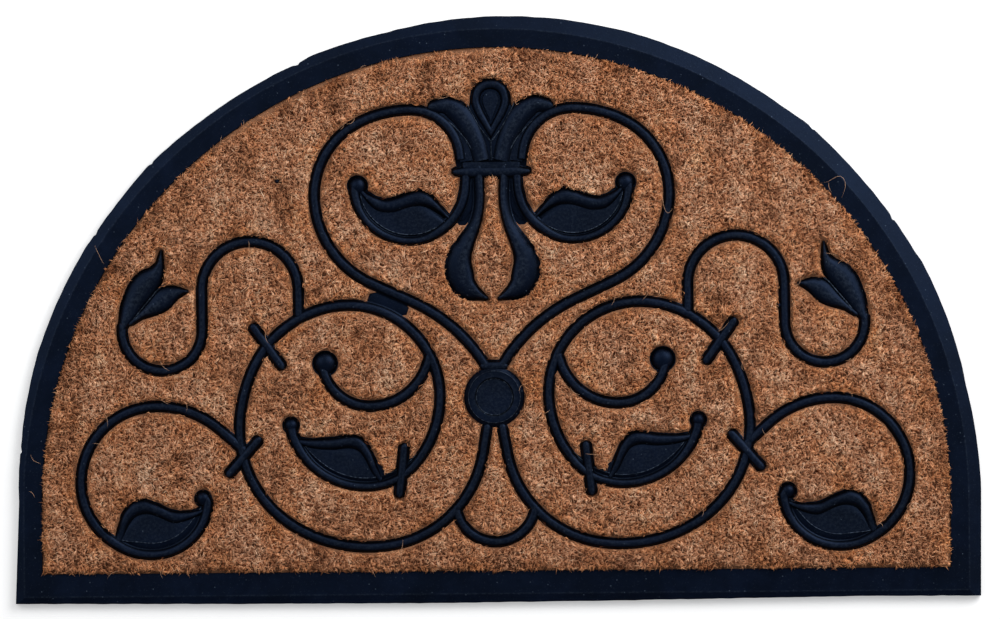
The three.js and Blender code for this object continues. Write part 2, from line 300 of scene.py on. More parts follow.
def dots(add, scale):
    """The distance from scattered points fixed to the piece."""
    place = add("ShaderNodeTexCoord").outputs["Object"]
    return add("ShaderNodeTexVoronoi", Vector=place, Scale=scale, Randomness=1).outputs["Distance"]


def reckon(add, operation, first, second):
    """The result of an operation on two values."""
    return add("ShaderNodeMath", {"operation": operation}, first, second).outputs["Value"]


def dress(tree, add, shader, colour, height=None, strength=0, distance=0):
    """Gives a shader its colour, and its bump if there is a height."""
    tree.links.new(colour, shader.inputs["Base Color"])
    if height:
        bump = add("ShaderNodeBump", Strength=strength, Distance=distance, Height=height)
        tree.links.new(bump.outputs["Normal"], shader.inputs["Normal"])


def rubber_finish():
    """Blue-black rubber, clouded and smeared with bloom.  It is painted darker where it turns away from up,
    as painted shade, and painted black where the point attribute is below 0, as painted shade on the sides
    and feet of beads.  Where that is above 0 it is dusty, and paler on worn tops with a painted highlight,
    with specks of dust all over."""
    material, tree, shader, add = nodes_of("moulded_rubber", 0.45, 0.22)
    shader.inputs["Specular Tint"].default_value = (0.3, 0.5, 1, 1)
    clouds = noise(add, 70, 6, 0.75)
    black = ramp(add, clouds, (0.32, (0.0003, 0.001, 0.0045)), (0.7, (0.0023, 0.0047, 0.0135)))
    smears = grey_ramp(add, noise(add, 13, 5, 0.6, 1.2), 0.38, 0.36, 0.64, 1)
    smeared = mixed(add, "MULTIPLY", 1, black, smears)
    # Sides turned away from up are painted darker, nearly black where steep: painted shade.
    facing = add("ShaderNodeSeparateXYZ", (), add("ShaderNodeNewGeometry").outputs["Normal"]).outputs["Z"]
    turned = mixed(add, "MULTIPLY", 1, smeared, grey_ramp(add, facing, 0.52, 0.04, 0.97, 1))
    dust_highlight_and_shade = value_of(add, "dust")
    # Where the point attribute is below 0 the rubber is painted black: painted shade on the sides and feet
    # of beads.
    painted_shade = grey_ramp(add, reckon(add, "MULTIPLY", dust_highlight_and_shade, -1), 0, 1, 0.85, 0.03)
    body = mixed(add, "MULTIPLY", 1, turned, painted_shade)
    # Where it is above 0 it is dust, and on worn tops also a painted highlight, broken into specks.
    broken = grey_ramp(add, noise(add, 480, 4, 0.75), 0.46, 0.1, 0.6, 1)
    dust_and_highlight = reckon(add, "MULTIPLY", dust_highlight_and_shade, broken)
    coarse = grey_ramp(add, dots(add, 150), 0.035, 0.8, 0.085, 0)
    fine = grey_ramp(add, dots(add, 520), 0.05, 0.26, 0.18, 0)
    dust = reckon(add, "MAXIMUM", dust_and_highlight, reckon(add, "MAXIMUM", coarse, fine))
    dusted_and_highlit = mixed(add, "MIX", dust, body, (0.065, 0.088, 0.125, 1))
    dress(tree, add, shader, dusted_and_highlit, noise(add, 420, 3, 0.65), 0.3, 0.25 * MM)
    return material


rubber = rubber_finish()


def finish_rubber(piece, name, smooth=SHARP):
    """Names a rubber piece, shades it, gives it the rubber and fixes it to the mat."""
    piece.name = name
    piece.data.name = name
    pick(piece)
    bpy.ops.object.shade_smooth_by_angle(angle=smooth)
    if "dust" not in piece.data.attributes:
        piece.data.attributes.new("dust", "FLOAT", "POINT")
    piece.data.materials.clear()
    piece.data.materials.append(rubber)
    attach(piece, "root")
    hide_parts("rubber_moulding")


border = half_round_sheet()
knife = knife_block()
apply_modifier(border, "BOOLEAN", operation="INTERSECT", solver="EXACT", object=knife)
bpy.data.objects.remove(knife)
apply_modifier(border, "BEVEL", limit_method="ANGLE", angle_limit=SHARP, width=EDGE_ROUND, segments=2)
pale_crease(border)
finish_rubber(border, "rubber_border", BORDER_SHARP)

# ---- Scroll ribs ----------------------------------------------------------------------------------
# Rounded rubber ribs that run over the backing in the plain curves of wrought iron scrollwork: arcs and
# straights, set out for the right half and mirrored.  Each is a bead between two edge lines, domed
# across and round at its ends, and sunk a little into the backing that it is moulded with.
ORNAMENT_AT = (-2.8 * MM, 1.1 * MM)
ORNAMENT_TURN = math.radians(0.3)
SUNK = BACKING - 0.6 * MM
RIB_TOP = 9 * MM
RIB_WIDE = 7.4
STATION = 2.5  # mm between the sections of a bead
CURVE_FINE = 16
# A bead's section to its middle: how far across each point is, in half widths, and its share of the height.
# Past -1 the section flares to a foot under the pile, painted black by bead() as painted shade.
DOME = ((-1.3, 0), (-1.28, 0.49), (-1.04, 0.55), (-0.94, 0.7), (-0.77, 0.83), (-0.54, 0.93), (-0.28, 0.98),
        (0, 1))
END_STEPS = 5
END_START = 0.12
END_DROP = 0.25
WORN_AND_HIGHLIGHT = 0.13
WORN_AND_HIGHLIGHT_FROM = 0.82  # share of a bead's height above which its top is worn paler, with a painted highlight
SIDE_SHADE_FROM, SIDE_SHADE_TO = 0.88, 0.53  # and between which its sides are painted black, as painted shade, down to a foot in the pile
SIDES = (1, -1)

# Each run starts at x and y in mm with a heading in degrees.  It goes ahead, or turns on an arc of some
# radius by some degrees.
HEART_LEAF_STEM = (19.6, 106, -86, [("ahead", 12), ("left", 43, 172)])
HEART_LINE = (7, -43.5, 56, [("ahead", 5), ("right", 129.5, 31.3), ("ahead", 33.5), ("left", 76, 62.2),
                             ("left", 63.7, 67.6), ("left", 90, 25.5), ("left", 38.5, 84), ("ahead", 9)])
WHEEL_SCROLL = (6, -93, -80, [("ahead", 20.2), ("left", 85.9, 70.6), ("left", 110.4, 39.7),
                              ("left", 89.4, 67.4), ("left", 123.8, 16.3), ("left", 84.5, 54),
                              ("left", 71.1, 102), ("left", 79.2, 38), ("left", 51.8, 52),
                              ("left", 60, 70)])
WHEEL_COMMA = (50, -37, -73, [("ahead", 5), ("left", 47, 73), ("left", 37, 78)])
TENDRIL = (151, -3, 90, [("ahead", 19.5), ("right", 37.5, 180), ("ahead", 31), ("left", 31, 180),
                        ("ahead", 4)])
OUTER_LOOP = (196, -107, 42, [("ahead", 22), ("right", 75, 42), ("right", 59, 90), ("right", 55, 90),
                              ("right", 43, 86)])
DROP_ARC = (0, -181.5, 0, [("left", 31, 80)])
COLLAR_GROOVE = 114.4  # what stands on the collar stops here, a narrow groove away from it
LEAF_STEMS = ((HEART_LEAF_STEM, 0.35), (WHEEL_SCROLL, 0.83), (OUTER_LOOP, 0.7))


def run_of(x, y, heading, steps):
    """Points along a run of straights and arcs, in mm."""
    points = [(x, y)]
    angle = math.radians(heading)
    for kind, size, *turned in steps:
        x, y = points[-1]
        if kind == "ahead":
            count = math.ceil(size / STATION)
            ways = np.linspace(0, size, count + 1)[1:]
            points += [(x + way * math.cos(angle), y + way * math.sin(angle)) for way in ways]
            continue
        side = 1 if kind == "left" else -1
        turn = math.radians(turned[0])
        count = math.ceil(size * turn / STATION)
        middle_x = x - side * size * math.sin(angle)
        middle_y = y + side * size * math.cos(angle)
        for at in angle + side * np.linspace(0, turn, count + 1)[1:]:
            points.append((middle_x + side * size * math.sin(at), middle_y - side * size * math.cos(at)))
        angle += side * turn
    return np.array(points)


def even(points, step=STATION):
    """The same line with its points evenly spaced, about a step apart."""
    points = np.asarray(points, float)
    length = np.concatenate([[0], np.cumsum(np.linalg.norm(np.diff(points, axis=0), axis=1))])
    places = np.linspace(0, length[-1], max(3, round(length[-1] / step) + 1))
    return np.column_stack([np.interp(places, length, points[:, axis]) for axis in (0, 1)])


def soft(values, shares):
    """Values at shares, 0 to 1, along a soft curve through values set out evenly."""
    values = np.asarray(values, float)
    padded = np.concatenate([values[:1], values, values[-1:]])
    place = np.asarray(shares) * (len(values) - 1)
    index = np.minimum(place.astype(int), len(values) - 2)
    t = (place - index).reshape((-1,) + (1,) * (values.ndim - 1))
    before, start, end, after = (padded[index + shift] for shift in range(4))
    leave, arrive = (end - before) / 2, (after - start) / 2
    cubic = 2 * start - 2 * end + leave + arrive
    square = -3 * start + 3 * end - 2 * leave - arrive
    return ((cubic * t + square) * t + leave) * t + start


def curve_of(set_out, step=STATION):
    """A soft curve through set-out points, evenly spaced."""
    return even(soft(set_out, np.linspace(0, 1, CURVE_FINE * len(set_out))), step)


def share_of(line, start=0, end=1, count=None):
    """The stretch of an even line between two shares of its length, with count points if given."""
    last = len(line) - 1
    count = count or max(3, round((end - start) * last) + 1)
    places = np.linspace(start * last, end * last, count)
    return np.column_stack([np.interp(places, np.arange(last + 1), line[:, axis]) for axis in (0, 1)])


def placed(points, side):
    """Set-out points in metres, on the right or mirrored, as the scrollwork lies in its border."""
    flat = np.asarray(points, float) * (side * MM, MM)
    cos, sin = math.cos(ORNAMENT_TURN), math.sin(ORNAMENT_TURN)
    return flat @ np.array([[cos, sin], [-sin, cos]]) + ORNAMENT_AT


def ways_of(line):
    """The way along a line at each of its points, and the way to its left."""
    ways = np.gradient(line, axis=0)
    ways /= np.linalg.norm(ways, axis=1)[:, None]
    return ways, np.column_stack([-ways[:, 1], ways[:, 0]])


def strip_edges(line, widths, square=False):
    """Edge lines of a strip along a line, as wide as widths set out along it, with round ends or with
    its start cut square, and how full its width is at each point."""
    line = np.asarray(line, float)
    first, last = (np.atleast_1d(widths)[end] / 2 for end in (0, -1))
    start_way = (line[0] - line[1]) / np.linalg.norm(line[0] - line[1])
    end_way = (line[-1] - line[-2]) / np.linalg.norm(line[-1] - line[-2])
    sweep = np.linspace(END_START, math.pi / 2, END_STEPS, endpoint=False)
    start_cap = line[0] + np.outer(np.cos(sweep) * first, start_way)
    end_cap = line[-1] + np.outer(np.cos(sweep[::-1]) * last, end_way)
    whole = np.vstack([start_cap, line, end_cap])
    widths = np.repeat(widths, 2) if np.size(widths) == 1 else widths
    body = soft(widths, np.linspace(0, 1, len(line))) / 2
    reach = np.concatenate([np.sin(sweep) * first, body, np.sin(sweep[::-1]) * last])
    aside = ways_of(whole)[1] * reach[:, None]
    full = np.concatenate([np.full(END_STEPS, first), body, np.full(END_STEPS, last)])
    kept = slice(END_STEPS if square else 0, None)
    return (whole + aside)[kept], (whole - aside)[kept], (reach / full)[kept]


def domed(section, shift=0):
    """A section given to its middle, carried on to its far side, its crest shifted to one side."""
    whole = tuple(section) + tuple((-across, up) for across, up in reversed(section[:-1]))
    return tuple((across + shift * (1 - across * across), up) for across, up in whole)


def bead(mesh, left, right, tops, section=None, dust=0.0, worn=WORN_AND_HIGHLIGHT):
    """A closed bead between two edge lines, with dust on it, its top worn paler with a painted highlight,
    and its sides painted black down to its foot as painted shade.
    """
    section = section or domed(DOME)
    tops = np.broadcast_to(tops, len(left))
    layer = mesh.verts.layers.float.get("dust") or mesh.verts.layers.float.new("dust")
    rings = []
    for near, far, top in zip(left, right, tops):
        middle, reach = (near + far) / 2, (far - near) / 2
        ring = []
        for across, up in section:
            x, y = middle + reach * across
            vertex = mesh.verts.new((x, y, SUNK + (top - SUNK) * up))
            # Its top is worn paler, a painted highlight too, and its sides are painted black, painted
            # shade.
            top_share = max(0, up - WORN_AND_HIGHLIGHT_FROM) / (1 - WORN_AND_HIGHLIGHT_FROM)
            deep = min(1, max(0, SIDE_SHADE_FROM - up) / (SIDE_SHADE_FROM - SIDE_SHADE_TO))
            vertex[layer] = dust + worn * top_share ** 2 - deep
            ring.append(vertex)
        rings.append(ring)
    for one, two in pairwise(rings):
        for index in range(len(section)):
            after = (index + 1) % len(section)
            mesh.faces.new((one[index], one[after], two[after], two[index]))
    mesh.faces.new(rings[0])
    mesh.faces.new(rings[-1][::-1])


def strip(mesh, line, widths, top=RIB_TOP, sides=SIDES, section=None, square=False, **dust_wear_and_light):
    """A bead along a line of set-out points, on both sides of the mat unless told otherwise."""
    left, right, fullness = strip_edges(line, widths, square)
    tops = SUNK + (top - SUNK) * (1 - END_DROP * (1 - fullness))
    for side in sides:
        bead(mesh, placed(left, side), placed(right, side), tops, section, **dust_wear_and_light)


def rubber_piece(mesh, name):
    """Turns a finished bmesh into a rubber piece of the mat."""
    bmesh.ops.recalc_face_normals(mesh, faces=mesh.faces)
    data = bpy.data.meshes.new(name)
    mesh.to_mesh(data)
    mesh.free()
    finish_rubber(linked(name, data), name)


ribs = bmesh.new()
for run in (WHEEL_COMMA, TENDRIL):
    strip(ribs, run_of(*run), RIB_WIDE)
heart_line = run_of(*HEART_LINE)[::-1]
under_collar = int((heart_line[:, 1] > COLLAR_GROOVE).argmax())
strip(ribs, heart_line[under_collar:], RIB_WIDE, square=True)
for run, leaf_start in LEAF_STEMS:
    strip(ribs, share_of(even(run_of(*run)), 0, leaf_start), RIB_WIDE)
drop_half = run_of(*DROP_ARC)
strip(ribs, np.vstack([drop_half[::-1] * (-1, 1), drop_half[1:]]), RIB_WIDE, sides=(1,))
rubber_piece(ribs, "scroll_ribs")

# ---- Leaves ---------------------------------------------------------------------------------------
# Six rubber leaves curl off the ends of the scrolls and are moulded with them.  In each the rib runs on
# as a rim, a slope climbs from a groove beside it to a fine lip, the floor lies smooth behind the lip,
# and a ridge rolls over the top.
RIM_OUT = 4.3  # mm from the run's line to the rim's outer edge
RIM_LAP = 0.05
RIM_TOP = 9.2 * MM
PLATEAU = 6.4 * MM
RIDGE_TOP = 9.4 * MM
RIDGE_WORN_AND_HIGHLIGHT = 0.1
LIP_WIDE = 1.1
LIP_PROUD = 0.3 * MM
FLOOR_DUST = 0.08
LIP_DUST = 0.9
STEM_EASE, TIP_EASE, RIDGE_EASE = 0.25, 0.3, 0.2  # shares of a leaf's length over which it widens
RIDGE_LOW = 0.3
STEM_LAP = 0.01
LIP_STRETCH = (0.06, 0.9)
# bead() paints the low points of the ridge, slope and floor sections black: painted shade under the ridge
# and in the groove beside the rim.
RIDGE_SECTION = ((-1.24, 0), (-1.23, 0.46), (-1, 0.5), (-0.93, 0.62), (-0.82, 0.76), (-0.64, 0.9),
                 (-0.42, 0.98), (-0.18, 1), (0.04, 0.96), (0.2, 0.86), (0.36, 0.7), (0.52, 0.52),
                 (0.68, 0.38), (0.84, 0.3), (1, 0))
SLOPE_SECTION = ((-1, 0), (-1, 0.66), (-0.75, 0.74), (1, 1), (1, 0))
FLOOR_SECTION = ((-1, 0), (-1, 1), (0.2, 1), (0.45, 0.95), (0.62, 0.75), (0.8, 0.5), (1, 0.45), (1, 0))
BALLS = ((104, 96, 8), (131, -41.5, 9.8), (158, -89, 6.6), (227, -145, 6.8))  # x, y and radius in mm
# Each leaf grows on a run from a share of its length to a ball.  In mm: how far its rim and its lip lie
# inward, the far edge of its floor, and the outer and inner edges of its ridge.
LEAVES = (
    {
        "stem": LEAF_STEMS[0], "ball": 0, "inward": 1, "rim_in": 1.7, "lip": 3.6,
        "floor": ((102, 92), (86, 81), (72, 82.5), (57, 87), (45, 80), (34, 68)),
        "outer": ((103, 97), (96, 90.5), (83, 85.5), (73, 87.5), (60, 92), (52, 91.5), (44, 85.5),
                  (34, 73), (31, 70)),
        "inner": ((104, 91), (97, 80), (90, 73), (79, 70.5), (70, 73), (62, 75.5), (53, 77), (42, 73),
                  (33, 67)),
    },
    {
        "stem": LEAF_STEMS[1], "ball": 2, "inward": 1, "rim_in": 2, "lip": 5.4,
        "floor": ((152, -102), (138, -104), (122, -103), (106, -103), (97, -116), (90, -133)),
        "outer": ((155, -99), (146, -99.5), (136, -99.5), (125, -99), (112, -97), (103.5, -99), (97, -107),
                  (92, -119), (87.5, -130)),
        "inner": ((156, -104), (147, -108.5), (136, -111), (125, -111.5), (116, -110), (108, -112),
                  (102, -120), (97, -130), (91, -137)),
    },
    {
        "stem": LEAF_STEMS[2], "ball": 3, "inward": -1, "rim_in": 2.5, "lip": 8,
        "floor": ((226, -154), (240, -159), (256, -156), (274, -149), (286, -158), (292, -177)),
        "outer": ((224, -151), (231.5, -153.5), (242, -154.5), (252, -153.5), (260, -149.5), (268, -146.5),
                  (275, -144.5), (283, -147), (290, -156), (294.5, -168), (296, -174)),
        "inner": ((225, -155), (232, -161), (245, -167), (252, -167), (262, -162), (270, -160), (278, -161),
                  (284, -168), (286, -176), (289, -181)),
    },
)


def beside(line, offset):
    """The line moved sideways, to its left, by an offset that varies along it."""
    return line + ways_of(line)[1] * offset[:, None]


def eased(shares, over):
    """Values that rise softly from 0 to 1 as shares go from 0 to over."""
    risen = np.clip(shares / over, 0, 1)
    return risen * risen * (3 - 2 * risen)


def leaf(mesh, stem, ball, inward, rim_in, lip, floor, outer, inner):
    """One leaf and its mirrored twin: rim, slope, lip, floor and rolled ridge."""
    run, start = stem
    line = even(np.vstack([share_of(even(run_of(*run)), start - STEM_LAP), BALLS[ball][:2]]))
    count = len(line)
    shares = np.linspace(0, 1, count)
    from_stem = eased(shares, STEM_EASE)
    full = from_stem * eased(1 - shares, TIP_EASE)
    half_rib = RIB_WIDE / 2 - RIM_LAP
    rim_outer = beside(line, -inward * (half_rib + (RIM_OUT - half_rib) * from_stem))
    rim_inner = beside(line, inward * (half_rib + (rim_in - half_rib) * full))
    lip_line = share_of(beside(line, inward * (half_rib + (lip - half_rib) * full)), *LIP_STRETCH, count)
    across = share_of(curve_of(floor)[::-1], count=count)
    top_line = curve_of(outer)
    low_line = share_of(curve_of(inner), count=len(top_line))
    along = np.linspace(0, 1, len(top_line))
    rolled = RIDGE_LOW + (1 - RIDGE_LOW) * eased(along, RIDGE_EASE) * eased(1 - along, RIDGE_EASE)
    rim_tops = RIB_TOP + (RIM_TOP - RIB_TOP) * from_stem
    ridge_tops = PLATEAU + (RIDGE_TOP - PLATEAU) * rolled
    for side in SIDES:
        rim, foot, crest, far = (placed(edge, side) for edge in (rim_outer, rim_inner, lip_line, across))
        bead(mesh, rim, foot, rim_tops)
        bead(mesh, foot, crest, PLATEAU, SLOPE_SECTION, worn=0)
        bead(mesh, crest, far, PLATEAU, FLOOR_SECTION, FLOOR_DUST, 0)
        over, under = placed(top_line, side), placed(low_line, side)
        bead(mesh, over, under, ridge_tops, RIDGE_SECTION, worn=RIDGE_WORN_AND_HIGHLIGHT)
    strip(mesh, lip_line, LIP_WIDE, PLATEAU + LIP_PROUD, dust=LIP_DUST)


leaf_mesh = bmesh.new()
for row in LEAVES:
    leaf(leaf_mesh, **row)
rubber_piece(leaf_mesh, "scroll_leaves")

# ---- Palmette -------------------------------------------------------------------------------------
# The middle ornament, of the same moulded rubber: a crest shaped as a drop, its ring round a smaller
# drop, two broad petals that lean out from it, and under the collar two long lobes.  Fine dusty
# creases part one from the next.
SWELL = ((-1.14, 0), (-1.13, 0.46), (-1, 0.5), (-0.94, 0.58), (-0.84, 0.68), (-0.68, 0.79), (-0.48, 0.9),
         (-0.25, 0.97), (0, 1))
LOBE = ((10.5, 108), (9.5, 84), (13, 66), (21, 50), (25.5, 39.5), (25.5, 28), (21.5, 17.5), (14, 11.5),
        (5.5, 7.5))
LOBE_WIDTHS = (8, 8, 8, 9, 12.5, 17.5, 20.5, 15.5, 4)
SWELL_WORN_AND_HIGHLIGHT = 0.22
LOBE_SHIFT = 0.3
PETAL_SHIFT = -0.12
PETAL = ((7.6, COLLAR_GROOVE), (11.8, 130), (21.6, 147.6), (33, 157), (43.6, 156.6))
PETAL_WIDTHS = (13.6, 14.6, 16.8, 17, 11)
PETAL_FLOOR = ((17, COLLAR_GROOVE), (19, 124), (27, 140), (38, 149), (47, 152))
PETAL_FLOOR_WIDTHS = (14, 16, 14, 11, 7)
PETAL_CREASE = ((12, 115), (14.5, 122), (20, 131.5), (30, 142.5), (40, 150.5), (48, 155))
CREST_CREASE = ((0.4, 129.5), (8, 139.5), (14, 150), (18.4, 159))
MIDDLE_CREASE = ((0, 115), (0, 122), (0, 130))
STEM_WEB = ((15, 104), (17, 85), (23, 70))
STEM_WEB_WIDTHS = (9, 12, 10, 4)
STEM_WEB_TOP = 4 * MM
CREST_BASE = ((0, COLLAR_GROOVE), (0, 122), (0, 132), (0, 142), (0, 152), (0, 161.5))
CREST_BASE_WIDTHS = (4, 10, 16, 24, 33, 29)
CREST_STATIONS = 72
CREST_FINE = 240
CREST_STEP = 0.5
CREST_OUT = ((0, 131), (6, 141), (11.5, 150), (15, 160), (13.2, 170), (7.5, 175.8), (0, 177.4))
CREST_IN = ((0, 142), (2.6, 147), (5.6, 153), (8, 160), (7, 166), (4, 169), (0, 170))
CREST_HEART = ((0, 145.5), (2, 149.5), (4.4, 154.5), (6.4, 160), (5.6, 164.6), (3.2, 167), (0, 167.8))
CREST_TOP = 9.4 * MM
CREST_HEART_TOP = 8.2 * MM
PLAIN_SECTION = ((-1, 0), (-1, 0.9), (-0.9, 1), (0, 1))
CREASE_WIDE = 1.2
CREASE_TOP = 7.4 * MM


def drop_line(right_side):
    """A drop's whole outline, from its point up its left side, over its top and down again."""
    left_side = [(-x, y) for x, y in right_side[:-1]]
    outline = soft(left_side + list(right_side)[::-1], np.linspace(0, 1, CREST_FINE))
    return share_of(even(outline, CREST_STEP), count=CREST_STATIONS)


palmette_mesh = bmesh.new()
swelled = {"section": domed(SWELL), "worn": SWELL_WORN_AND_HIGHLIGHT}
lobed = {"section": domed(SWELL, LOBE_SHIFT), "worn": SWELL_WORN_AND_HIGHLIGHT}
petalled = {"section": domed(SWELL, PETAL_SHIFT), "worn": SWELL_WORN_AND_HIGHLIGHT, "square": True}
plain = {"section": domed(PLAIN_SECTION), "worn": 0}
floored = {**plain, "dust": FLOOR_DUST}
strip(palmette_mesh, curve_of(LOBE), LOBE_WIDTHS, RIDGE_TOP, **lobed)
strip(palmette_mesh, curve_of(PETAL), PETAL_WIDTHS, RIDGE_TOP, **petalled)
strip(palmette_mesh, curve_of(PETAL_FLOOR), PETAL_FLOOR_WIDTHS, PLATEAU, square=True, **floored)
strip(palmette_mesh, curve_of(STEM_WEB), STEM_WEB_WIDTHS, STEM_WEB_TOP, **plain)
strip(palmette_mesh, curve_of(CREST_BASE), CREST_BASE_WIDTHS, PLATEAU, (1,), square=True, **plain)
outer_drop, inner_drop, heart_drop = (drop_line(side) for side in (CREST_OUT, CREST_IN, CREST_HEART))
bead(palmette_mesh, placed(outer_drop, 1), placed(inner_drop, 1), CREST_TOP, worn=SWELL_WORN_AND_HIGHLIGHT / 2)
half = CREST_STATIONS // 2
bead(palmette_mesh, placed(heart_drop[:half], 1), placed(heart_drop[:half - 1:-1], 1), CREST_HEART_TOP,
     **floored)
for crease in (PETAL_CREASE, CREST_CREASE):
    strip(palmette_mesh, curve_of(crease), CREASE_WIDE, CREASE_TOP, dust=LIP_DUST)
strip(palmette_mesh, curve_of(MIDDLE_CREASE), CREASE_WIDE, CREASE_TOP, (1,), dust=LIP_DUST / 3)
rubber_piece(palmette_mesh, "palmette")

# ---- Buds -----------------------------------------------------------------------------------------
# Each tendril ends in a bud of rubber, moulded on it, whose two swelling petals part at their tips.
# A fine crease full of dust runs between them.
BUD_OUTER = ((288, -12), (284.5, -4), (280, 6), (272, 19), (262, 29.5), (258.3, 37), (257, 47.5))
BUD_OUTER_WIDTHS = (7.4, 14, 17.7, 20.3, 17.5, 8, 2.5)
BUD_INNER = ((281, -8), (271.7, -1), (262.7, 4.4), (252.3, 12.6), (242.8, 15.9), (237.4, 16))
BUD_INNER_WIDTHS = (5, 7, 14, 18, 13, 3)
BUD_CREASE = ((278.5, -4.5), (274, 1.1), (266.3, 10.2), (260.5, 17), (255.5, 21))
BUD_CREASE_TOP = RIB_TOP - 0.3 * MM

bud_mesh = bmesh.new()
strip(bud_mesh, curve_of(BUD_OUTER), BUD_OUTER_WIDTHS, RIDGE_TOP, **swelled)
strip(bud_mesh, curve_of(BUD_INNER), BUD_INNER_WIDTHS, RIB_TOP, **swelled)
strip(bud_mesh, curve_of(BUD_CREASE), CREASE_WIDE, BUD_CREASE_TOP, dust=LIP_DUST)
rubber_piece(bud_mesh, "tendril_buds")

# ---- Boss, collar, ties and ball ends -------------------------------------------------------------
# The middle boss, the collar under the palmette, the ties that seem to bind the scrolls where they
# touch, and the balls on the curled tips are part of the moulding too.  All stand a little higher
# than the ribs they sit on.
CAP_TOP = 9.8 * MM
BOSS_Y = -69
BOSS_RADIUS = 23
BOSS_SIDES = 96
BALL_SIDES = 40
FACES_UP = 0.9
BOSS_SHOULDER = 7.6 * MM
BOSS_SLOPE = 3 * MM
BOSS_BEVEL = {"angle_limit": math.radians(60), "width": 1.2 * MM, "segments": 4}
DISH_RADIUS = 15.2
DISH_SIDE = 1.1 * MM
DISH_DEEP = 1.6 * MM
DISH_DUST = 0.1
DUSTY_RINGS = ((14, 8.7 * MM), (20.1, 10 * MM))  # radius in mm, and top
RING_WIDE = 0.9
FOOT_WIDE = 2
FOOT_TOP = 5.9 * MM
FULL_TURN = 362  # degrees, so that the ends of a ring lap
COLLAR = ((-27.6, 105.8), (27.6, 105.8))
COLLAR_WIDTHS = (5.4, 8.8, 9.2, 9.2, 9.2, 9.2, 8.8, 5.4)
COLLAR_WORN_AND_HIGHLIGHT = 0.14
COLLAR_LEDGE = ((-20.4, 111), (20.4, 111))
LEDGE_WIDE = 4.6
TIE_WIDE = 7.6
TIES = (((186, -13), (165, -42.5)), ((184, -100.5), (206, -125.5)), ((70.5, -107.5), (74.5, -143)))
SHOULDER = ((-7, -45), (7, -45))
SHOULDER_WIDE = 8
WEB = ((71, 0), (92, 8))
WEB_WIDE = 11
WEB_TOP = 5 * MM


def add_boss():
    """The boss: a round block whose edge slopes away, with a shallow dish sunk in its top."""
    middle = placed([(0, BOSS_Y)], 1)[0]
    piece = primitive("cylinder", vertices=BOSS_SIDES, radius=BOSS_RADIUS * MM, depth=BOSS_SHOULDER - SUNK,
                      location=(*middle, (BOSS_SHOULDER + SUNK) / 2))
    select("FACE", [face for face in edit(piece).faces if face.normal.z > FACES_UP])
    inset((BOSS_SLOPE, CAP_TOP - BOSS_SHOULDER), ((BOSS_RADIUS - DISH_RADIUS) * MM - BOSS_SLOPE, 0),
          (DISH_SIDE, -DISH_DEEP))
    bpy.ops.object.mode_set(mode="OBJECT")
    spans = np.linalg.norm(points_of(piece.data)[:, :2] - middle, axis=1)
    set_values(piece.data, "dust", DISH_DUST * (spans < DISH_RADIUS * MM))
    apply_modifier(piece, "BEVEL", limit_method="ANGLE", **BOSS_BEVEL)
    finish_rubber(piece, "middle_boss", math.radians(30))


def ball(x, y, radius, side, top=CAP_TOP):
    """A flattened ball on the curled tip of a scroll."""
    piece = primitive("uv_sphere", segments=BALL_SIDES, ring_count=BALL_SIDES // 2, radius=radius * MM)
    edit(piece)
    bpy.ops.mesh.bisect(plane_co=(0, 0, 0), plane_no=(0, 0, 1), clear_inner=True, use_fill=True)
    bpy.ops.object.mode_set(mode="OBJECT")
    bpy.ops.transform.resize(value=(1, 1, (top - SUNK) / (radius * MM)))
    bpy.ops.transform.translate(value=(*placed([(x, y)], side)[0], SUNK))
    bpy.ops.object.transform_apply(location=True, rotation=True, scale=True)
    return piece


def joined(pieces, name):
    """Several pieces joined into one of rubber."""
    pick(pieces[0])
    for piece in pieces:
        piece.select_set(True)
    bpy.ops.object.join()
    finish_rubber(pieces[0], name)


def ring(mesh, x, y, radius, wide, top, dust, sides=SIDES):
    """A thin bead round a circle."""
    circle = run_of(x, y - radius, 0, [("left", radius, FULL_TURN)])
    strip(mesh, circle, wide, top, sides, dust=dust, square=True)


add_boss()
fitting_mesh = bmesh.new()
for radius, top in DUSTY_RINGS:
    ring(fitting_mesh, 0, BOSS_Y, radius, RING_WIDE, top, LIP_DUST, (1,))
strip(fitting_mesh, even(COLLAR), COLLAR_WIDTHS, CAP_TOP, (1,), worn=COLLAR_WORN_AND_HIGHLIGHT)
strip(fitting_mesh, even(COLLAR_LEDGE), LEDGE_WIDE, RIB_TOP, (1,), **floored)
strip(fitting_mesh, even(SHOULDER), SHOULDER_WIDE, sides=(1,))
strip(fitting_mesh, even(WEB), WEB_WIDE, WEB_TOP, (-1,), **plain)
for tie in TIES:
    strip(fitting_mesh, even(tie), TIE_WIDE, CAP_TOP)
# Rings at the feet of the balls and the boss, sunk in the pile, are painted black: painted shade.
for row in BALLS:
    ring(fitting_mesh, *row, FOOT_WIDE, FOOT_TOP, -1)
ring(fitting_mesh, 0, BOSS_Y, BOSS_RADIUS, FOOT_WIDE, FOOT_TOP, -1, (1,))
rubber_piece(fitting_mesh, "collar_and_ties")
joined([ball(*row, side) for row in BALLS for side in SIDES], "ball_ends")

# ---- Coir ground ----------------------------------------------------------------------------------
# Under the loose ends the coir is a dense mat of fibre, set in the rubber between the ribs.  Each
# field is its own piece: the whole outside, the inside of the heart, the left wheel, and the drop.
PILE_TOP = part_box("coir_outer_field")[1].z
PILE_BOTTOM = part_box("coir_outer_field")[0].z
GROUND_TOP = PILE_TOP - 6.3 * MM
FLAT = math.radians(0.5)


